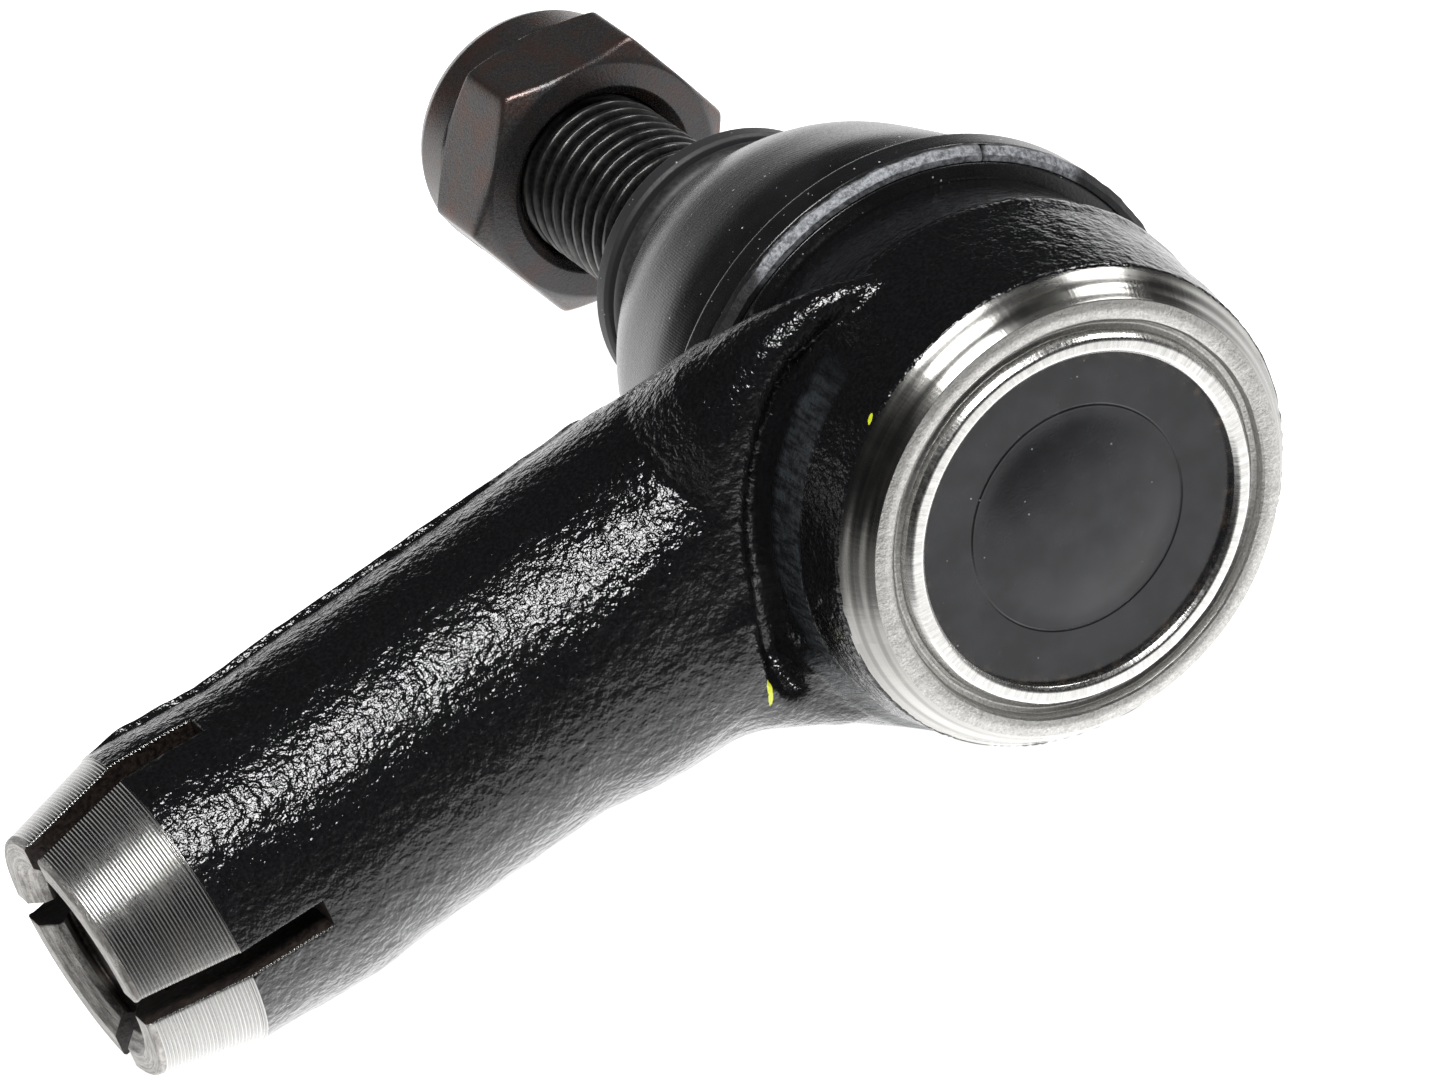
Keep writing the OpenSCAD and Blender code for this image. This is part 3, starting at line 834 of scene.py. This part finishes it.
def slotted_end():
    """Skin, cone, end face and threaded bore in rows along X, in four quarters between the saw cuts."""
    verts, faces, marks = [], [], []

    def add(points, quads, mark):
        start = sum(len(v) for v in verts)
        verts.append(points)
        faces.extend([i + start for i in q] for q in quads)
        marks.extend([mark] * len(quads) if np.isscalar(mark) else mark)

    skin = list(np.arange(ARM_JOIN, -60.7, -0.24)) + [-60.72]
    cone = rounded([(CONE_START, 10.80, 0), (-60.84, 10.76, 0), (-67.85, 9.06, 0.12), (ARM_END, 8.9, 0.1),
                    (ARM_END, 7.35, 0.15), (-67.1, 6.35, 0.1), (BORE_START, 6.2, 0)],
                   closed=False, longest=0.3)
    bore = np.arange(BORE_START, BORE_END, 0.15)
    x = np.concatenate([skin, cone[:, 0], bore])
    given = np.concatenate([np.full(len(skin), ARM_R), cone[:, 1], np.full(len(bore), 6.5)])
    kind = np.concatenate([np.full(len(skin), PAINTED),
                           np.where((cone[:, 0] > -67.8) & (cone[:, 1] > 8.8), TURNED, FACED),
                           np.full(len(bore), THREADED)])
    rows = np.arange(len(x))
    deep = kind == THREADED

    def place(at, r, turn):
        return np.stack([np.repeat(x[at][:, None], r.shape[1], 1),
                         ARM_Y + r * np.cos(turn), r * np.sin(turn)], -1)

    def radius_at(turn):
        """Radius of every row at these angles, shape (rows, angles)."""
        r = np.repeat(given[:, None], turn.shape[1], 1)
        skin = kind == PAINTED
        r[skin] = arm_radius(x[skin][:, None], turn[skin])
        # near the head it follows the forging, whose skin spreads there
        near = skin & (x > ARM_JOIN - 8)
        for _ in range(5):
            r[near] -= skin_distance(place(near, r[near], turn[near]), whole=True)
        depth = 0.81 * (0.15 + 0.85 * step(x[deep], BORE_START, BORE_START + 1)[:, None])
        r[deep] = BORE_R + depth * (1 - thread_depth(x[deep][:, None] / PITCH - turn[deep] / TAU))
        return r

    slotted = x <= SLOT_END + 1e-9
    last_out, first_in = rows[~slotted & ~deep][-1], rows[~slotted & deep][0]
    broken = np.where((kind == PAINTED) | (kind == TURNED), 0.13, 0.0)   # the cuts' broken edges
    lift = np.arcsin((SLOT_W / 2 + broken) / given)[:, None]
    for quarter in range(4):
        a, b = quarter * math.pi / 2, (quarter + 1) * math.pi / 2
        share = np.linspace(0, 1, 61)
        if quarter == 0:
            # more columns over the flash
            share = np.unique(np.concatenate([share, np.linspace(0.52, 0.71, 41)]))
        turn = (a + lift) * (1 - share) + (b - lift) * share
        points, quads = grid(place(rows, radius_at(turn), turn))
        add(points, quads, kind[quads[:, 0] // turn.shape[1] + 1])

        # past the cut's end the wall closes up round the bore
        share = np.linspace(0, 1, 7)
        turn = (b - lift) * (1 - share) + (b + lift) * share
        ends = radius_at(turn)
        for part, mark in ((~slotted & ~deep, PAINTED), (~slotted & deep, THREADED)):
            points, quads = grid(place(part, ends[part], turn[part]))
            add(points, quads, mark)

        # floor of the cut, and the skin and the bore up to it
        outer, inner = (place([at], ends[[at]], turn[[at]])[0] for at in (last_out, first_in))
        floor_out, floor_in = outer.copy(), inner.copy()
        floor_out[:, 0] = floor_in[:, 0] = SLOT_END
        for *lines, mark in ((floor_out, floor_in, SAWN), (outer, floor_out, PAINTED),
                             (inner, floor_in, THREADED)):
            points, quads = grid(np.stack(lines))
            add(points, quads, mark)

        # the cut's two walls, flat and parallel
        at = rows[slotted | (rows == last_out) | (rows == first_in)]
        along = np.array([0, math.cos(b), math.sin(b)])
        across = np.array([0, -math.sin(b), math.cos(b)])
        edged = broken[at] > 0
        for side in (-1, 1):
            turn = b + side * lift
            rim = place(at, radius_at(turn)[at], turn[at])[:, 0]
            depth = (rim - [0, ARM_Y, 0]) @ along
            wall = [0, ARM_Y, 0] + depth[:, None] * along + side * SLOT_W / 2 * across
            wall[:, 0] = rim[:, 0]
            wall[edged] -= along * 0.11
            wall[0, 0] = wall[-1, 0] = SLOT_END
            add(wall, [range(len(wall))], SAWN)
            points, quads = grid(np.stack([rim, wall]))
            add(points, [q for q in quads if edged[q[0] % len(at)] or edged[q[3] % len(at)]], TURNED)

    verts = np.concatenate(verts)
    rho = np.hypot(verts[:, 1] - ARM_Y, verts[:, 2])
    outward = np.stack([0 * rho, (verts[:, 1] - ARM_Y) / rho, verts[:, 2] / rho], -1)
    return peel(verts, outward, step(rho, 9.9, 10.3) * step(verts[:, 0], -60.85, -60.4)), faces, marks


verts, faces, marks = slotted_end()
build("housing_slotted_end", verts, faces, "housing", "black_paint",
      [PAINT, CONE_STEEL, RAW_END, BORE, SLOT_WALL], face_material=marks)


# ------------ machined rim and cover plate

def rim():
    """The rim, its rolled lip and the groove between them, with a material for each face."""
    path = rounded([(11.65, -14.56, 0.03), (11.66, -15.02, 0.2), (11.95, -15.3, 0.3), (12.72, -15.28, 0.35),
                    (13.02, -14.85, 0.3), (13.12, -14.42, 0.12), (13.45, -14.2, 0.2), (13.78, -14.38, 0.15),
                    (13.93, -14.86, 0.06), (14.1, -14.94, 0.1), (14.6, -15.0, 1.5), (15.28, -14.88, 0.12),
                    (16.80, -12.72, 0.03), (16.74, -12.5, 0.03), (12.6, -12.5, 0.05), (12.5, -14.5, 0.05)],
                   steps=5, longest=0.4)
    segments = 288

    def out_of_true(r, y, t):
        wave = 0.03 * np.sin(3 * t + 0.6) + 0.015 * np.sin(11 * t) + 0.012 * np.sin(23 * t + 1)
        return r + wave * step(r, 12.2, 12.7) * (1 - step(r, 14.3, 15.0)), y

    verts, quads = turned(path, segments, wobble=out_of_true)
    row = quads[:, 0] // segments
    r, y = ((path[row] + path[(row + 1) % len(path)]) / 2).T
    bevel_r, face_y, groove_r = 15.26, -14.99, 13.1
    return verts, quads, np.where((r > bevel_r) & (y > face_y), 0, np.where(r > groove_r, 1, 2))


verts, quads, marks = rim()
build("housing_rim", verts, quads, "housing", "black_paint", [RIM_STEEL, FACE_STEEL, LIP_STEEL],
      face_material=marks)

DOME = smooth_curve([(0, -15.29), (2.0, -15.25), (4.0, -15.10), (5.6, -14.88), (6.9, -14.67),
                     (7.6, -14.60), (7.82, -14.595)], 5, radius=0.15)
CAP = rounded(DOME + [(7.92, -14.53, 0.03), (8.02, -14.58, 0.06), (12.36, -14.58, 0.05), (12.36, -12.26, 0.1),
                      (3.8, -12.26, 0.2), (2.6, -11.8, 0.2), (0, -11.8, 0)],
              steps=5, closed=False, longest=0.6)
build("cover_plate", *turned(CAP, 192, closed=False), "housing", "cover_steel", [COVER], ["end_cap"])


# ------------ ball stud

def stud():
    """Ball, neck, cone and a real helix for the thread, as rows of radii up the stud."""
    core = 5.04
    ball = [(10 * math.sin(a), -10 * math.cos(a)) for a in np.linspace(0, math.acos(-8.54 / 10), 40)]
    shank = rounded([(5.2, 8.54, 0.8), (5.2, 15.0, 1.5), (6.95, 16.9, 0.3), (7.25, 17.2, 0.2),
                     (6.54, 31.4, 0.25), (core, 31.9, 0.3), (core, 33.1, 0)], closed=False, longest=0.8)
    tip = rounded([(core, 60.15, 0), (4.95, 60.45, 0.1), (4.7, 60.6, 0.1), (1.6, 60.6, 0.1),
                   (0.35, 59.0, 0), (0, 59.0, 0)], closed=False, longest=0.6)
    t = np.linspace(0, TAU, 144, endpoint=False)
    rows = [(r, y) for r, y in (*ball[:-1], *shank)]
    for y in np.arange(33.15, 60.15, 0.1):
        full = STUD_R - 0.90 * thread_depth(y / PITCH + t / TAU, 0.30)
        chamfer = STUD_R - max(0.0, y - 59.5) * 1.35
        rows.append((np.minimum(core + (full - core) * step(y, 33.1, 33.9), chamfer), y))
    rows += [(r, y) for r, y in tip]
    return around_stud(rows, t, False)


def around_stud(rows, t, closed):
    """Grid of rows of (radius, height), each a number or one value for each angle."""
    r, y = (np.array([np.broadcast_to(row[i], t.shape) for row in rows]) for i in (0, 1))
    return grid(np.stack([r * np.cos(t), y, r * np.sin(t)], -1), closed, True)


build("threaded_ball_stud", *stud(), "stud", "stud_steel", [STUD], ["ball_stud"])


# ------------ boot and its rings

def boot_profile():
    foot = [(14.72, SHOULDER_Y + 0.06, 0.2), (18.08, SHOULDER_Y + 0.06, 0.12), (18.08, 4.68, 0.1),
            (19.02, 4.68, 0.22), (19.08, 6.55, 0.5), (18.3, 7.6, 0.5), (17.25, 7.95, 0.5)]
    bulge = smooth_curve([(16.86, 8.6), (17.02, 9.6), (17.08, 10.7), (16.95, 12.8), (16.25, 16.0),
                          (15.2, 20.0), (13.9, 23.0), (12.15, 25.9), (10.9, 27.5), (10.2, 28.3)], 7)
    lip = [(9.6, 28.72, 0.3), (8.32, 29.12, 0.25), (8.32, 31.12, 0.2), (10.12, 31.26, 0.18),
           (10.33, 31.55, 0.2), (10.33, 32.6, 0.3), (10.0, 32.86, 0.3), (7.2, 32.86, 0.25), (6.86, 32.4, 0.2),
           (6.95, 29.2, 0.4)]
    inside = smooth_curve([(7.6, 28.3), (9.0, 27.3), (10.6, 25.0), (12.3, 22.0), (13.6, 19.2), (14.6, 15.5),
                           (15.3, 12.0), (15.3, 9.6), (14.6, 8.0)], 5)
    path = rounded(foot + bulge + lip + inside + [(14.66, 7.3, 0.15)], longest=0.55)
    # with a row of its own at the seam
    seamed = []
    for p, q in zip(path, np.roll(path, -1, 0)):
        seamed.append(p)
        if (p[1] - SEAM) * (q[1] - SEAM) < 0:
            seamed.append(p + (q - p) * (SEAM - p[1]) / (q[1] - p[1]))
    return np.array(seamed)


def split_boot():
    """The boot as two pieces that meet exactly at the seam."""
    verts, quads = turned(boot_profile(), 192)
    whole = bpy.data.meshes.new("whole_boot")
    whole.from_pydata((verts * MM).tolist(), [], quads.tolist())
    whole.update()
    shade = normals_by_area(whole)
    bpy.data.meshes.remove(whole)
    widest = np.hypot(verts[:, 0], verts[:, 2]).argmax()
    if shade[widest] @ (verts[widest] * [1, 0, 1]) < 0:
        quads, shade = quads[:, ::-1], -shade
    height = verts[:, 1]
    made = []
    for name, keep in (("boot_lower", height[quads].max(1) <= SEAM + 1e-6),
                       ("boot_upper", height[quads].min(1) >= SEAM - 1e-6)):
        used, part = np.unique(quads[keep], return_inverse=True)
        mesh = bpy.data.meshes.new(name)
        mesh.from_pydata((verts[used] * MM).tolist(), [], part.reshape(-1, 4).tolist())
        mesh.materials.append(RUBBER)
        mesh.update()
        obj = smooth_object(mesh, shade[used])
        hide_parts("dust_boot")
        made.append(obj)
    return made


boot_lower, boot_upper = split_boot()
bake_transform(boot_lower)
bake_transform(boot_upper)


def base_ring():
    """Flat ring in the step at the foot of the boot's flange, split at one place and a little ragged."""
    inner = 18.14
    section = rounded([(inner, 3.51, 0.08), (18.6, 3.51, 0.08), (19.08, 4.05, 0.1), (19.08, 4.6, 0.08),
                       (inner, 4.6, 0.08)], steps=3, longest=0.3)
    half_gap = 0.125 / 19
    split_at = -math.radians(302)
    columns = 260
    t = np.linspace(split_at + half_gap, split_at + TAU - half_gap, columns)
    rag = 0.02 * np.sin(37 * t) + 0.015 * np.sin(91 * t + 1)
    r, y = section[:, 0][:, None], section[:, 1][:, None] + 0 * t
    r = r + rag * (r - inner) * 1.5
    reach = FLANGE_R - 0.01
    points = np.stack([np.clip(r * np.cos(t), -reach, reach), y, np.clip(r * np.sin(t), -reach, reach)], -1)
    verts, quads = grid(points, True, False)
    start = [i * columns for i in range(len(section))]
    return verts, quads.tolist() + [start, [i + columns - 1 for i in start][::-1]]


build("boot_base_ring", *base_ring(), "housing", "ring_steel", [RING], ["base_clamp_ring"])

a = np.linspace(0, TAU, 28, endpoint=False)
wire_section = np.stack([9.27 + 0.92 * np.cos(a), 30.15 + 0.92 * np.sin(a)], -1)
build("boot_lip_ring", *turned(wire_section), "swivel", "spring_steel", [SPRING], ["upper_spring_ring"])


# ------------ lock nut and its insert

def nut():
    """Hexagon with chamfered corners below, a washer face, a round collar above and a cut thread."""
    t = np.linspace(0, TAU, 360, endpoint=False)
    from_flat = (t + math.radians(NUT_TURN)) % (math.pi / 3) - math.pi / 6
    hexagon = NUT_AF / 2 / np.cos(from_flat)
    corner_r, sharpness = 10.33, 9
    hexagon = -np.log(np.exp(-hexagon * sharpness) + np.exp(-corner_r * sharpness)) / sharpness
    face_r, top = 8.75, 7.4
    low_slope, high_slope = 1.1 / 1.79, 1.1 / 1.69
    low = np.maximum(hexagon - face_r, 0.0) * low_slope
    high = top - np.maximum(hexagon - 8.85, 0.0) * high_slope
    rows = [(6.12, 0.95), (6.5, 0.5), (6.85, 0.12), (6.93, 0.03), (7.05, 0.0), (7.6, 0.0), (8.2, 0.0),
            (8.6, 0.0), (8.72, 0.01)]
    corner = np.minimum(0.42, hexagon - 8.77)
    for s in (0.1, 0.25, 0.4, 0.55, 0.7, 0.85, 1.0):
        out = (hexagon - corner - face_r) * s
        rows.append((face_r + out, out * low_slope + 0.01))
    for s in (0.17, 0.33, 0.5, 0.67, 0.83):
        back = corner * (1 - s) ** 2
        rows.append((hexagon - back, low - back * low_slope + corner * s * s * 0.9))
    side = np.maximum(high - low, 0.4)
    for s in (0.09, 0.12, 0.25, 0.4, 0.55, 0.7, 0.82, 0.9, 0.95, 0.975):
        rows.append((hexagon, low + side * s))
    rows.append((hexagon - 0.015, high - 0.04))
    collar = np.minimum(9.02, hexagon - 0.02)
    for s in (0.95, 0.8, 0.6, 0.4, 0.2, 0.08):
        rows.append((collar + (hexagon - collar) * s, top - (top - high) * s))
    rows += [(r, y) for r, y in rounded(
        [(9.03, 7.42, 0), (9.05, 7.6, 0.2), (9.05, 10.45, 0.9), (8.65, 11.42, 0.6), (7.7, 11.88, 0.5),
         (7.02, 11.9, 0.1), (7.0, 11.0, 0.1), (7.9, 10.95, 0.1), (7.9, 8.3, 0.1), (6.1, 8.3, 0.05)],
        closed=False, longest=0.5)]
    for y in np.arange(8.2, 0.98, -0.1):
        rows.append((6.02 + 0.42 * (1 - thread_depth((y + NUT_Y) / PITCH + t / TAU)), y))
    return around_stud([(r, y + NUT_Y) for r, y in rows], t, True)


build("hexagon_lock_nut", *nut(), "nut", "nut_steel", [NUT], ["lock_nut"])

INSERT = rounded([(6.03, 59.2, 0.3), (7.83, 59.18, 0.1), (7.83, 61.7, 0.2), (6.03, 61.7, 0.45)],
                 steps=5, longest=0.5)
build("nylon_locking_ring", *turned(INSERT, 128), "locking_ring", "nylon", [NYLON], ["nylon_insert"])

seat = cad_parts["ball_seat"]
seat.data.materials.clear()
seat.data.materials.append(SEAT)
for polygon in seat.data.polygons:
    polygon.material_index = 0


# ------------ floor, light and camera

FLOOR_REACH = 3.0
mesh = bpy.data.meshes.new("floor")
mesh.from_pydata([(x * FLOOR_REACH, y * FLOOR_REACH, FLOOR_Z - 0.0002)
                  for x, y in ((-1, -1), (1, -1), (1, 1), (-1, 1))], [], [(0, 1, 2, 3)])
mesh.materials.append(pale_floor())
floor = bpy.data.objects.new("floor", mesh)
floor.visible_glossy = False
bpy.context.scene.collection.objects.link(floor)


def soft_box(name, towards, size, radiance):
    """A rectangular light of that size in metres, seen from the part in the given direction."""
    distance = 0.8
    lamp = bpy.data.lights.new(name, "AREA")
    lamp.shape = "RECTANGLE"
    lamp.size, lamp.size_y = size
    lamp.energy = radiance * math.pi * size[0] * size[1]
    obj = bpy.data.objects.new(name, lamp)
    obj.location = Vector((-0.02, 0.01, 0.0)) + Vector(towards).normalized() * distance
    obj.rotation_mode = "QUATERNION"
    obj.rotation_quaternion = Vector(towards).to_track_quat("Z", "Y")
    obj.visible_camera = False
    bpy.context.scene.collection.objects.link(obj)


soft_box("key_box", (0.04, -0.42, 0.91), (0.32, 0.26), 27.0)
soft_box("side_box", (0.86, 0.0, 0.50), (0.26, 0.24), 13.0)


def studio_world():
    """White all round to the eye; to the part, a bright table below and behind and a dark room above."""
    world = bpy.data.worlds.new("studio")
    world.use_nodes = True
    world.node_tree.nodes.clear()
    k = Graph(world.node_tree, "Generated")
    x, y, z = k.xyz()
    front = k.plus(k.span(z, 0.15, -0.15, 0.02, 0.22), k.span(z, -0.26, -0.52, 0.0, 1.4))
    tilted = k.plus(z, k.times(x, 0.12))
    back = k.plus(k.span(tilted, 0.30, 0.14, 0.02, 0.2), k.span(tilted, 0.14, -0.08, 0.0, 1.3))
    share = k.span(y, -0.25, 0.45)
    lit = k.plus(k.times(front, k.minus(1.0, share)), k.times(back, share), k.span(z, -0.60, -0.92))
    seen = k.node("LightPath").outputs["Is Camera Ray"]
    strength = k.plus(seen, k.times(k.minus(1.0, seen), lit))
    background = k.node("Background", {"Color": (1.0, 1.0, 1.0, 1.0), "Strength": strength})
    k.node("OutputWorld", {"Surface": background.outputs[0]})
    return world


scene = bpy.context.scene
scene.world = studio_world()
scene.view_settings.view_transform = "Standard"
scene.view_settings.exposure = 0.0

camera_data = bpy.data.cameras.new("camera")
camera_data.sensor_width = 36.0
camera_data.lens = 253.4
camera_data.clip_start, camera_data.clip_end = 0.01, 20.0
camera = bpy.data.objects.new("camera", camera_data)
right = Vector((0.81344, -0.47931, -0.32952)).normalized()
ahead = Vector((0.24799, 0.79823, -0.54894)).normalized()
up = right.cross(ahead).normalized()
camera.matrix_world = Matrix((
    (right.x, up.x, -ahead.x, -0.1837),
    (right.y, up.y, -ahead.y, -0.5321),
    (right.z, up.z, -ahead.z, 0.3693),
    (0, 0, 0, 1)))
scene.collection.objects.link(camera)
bpy.context.scene.camera = camera
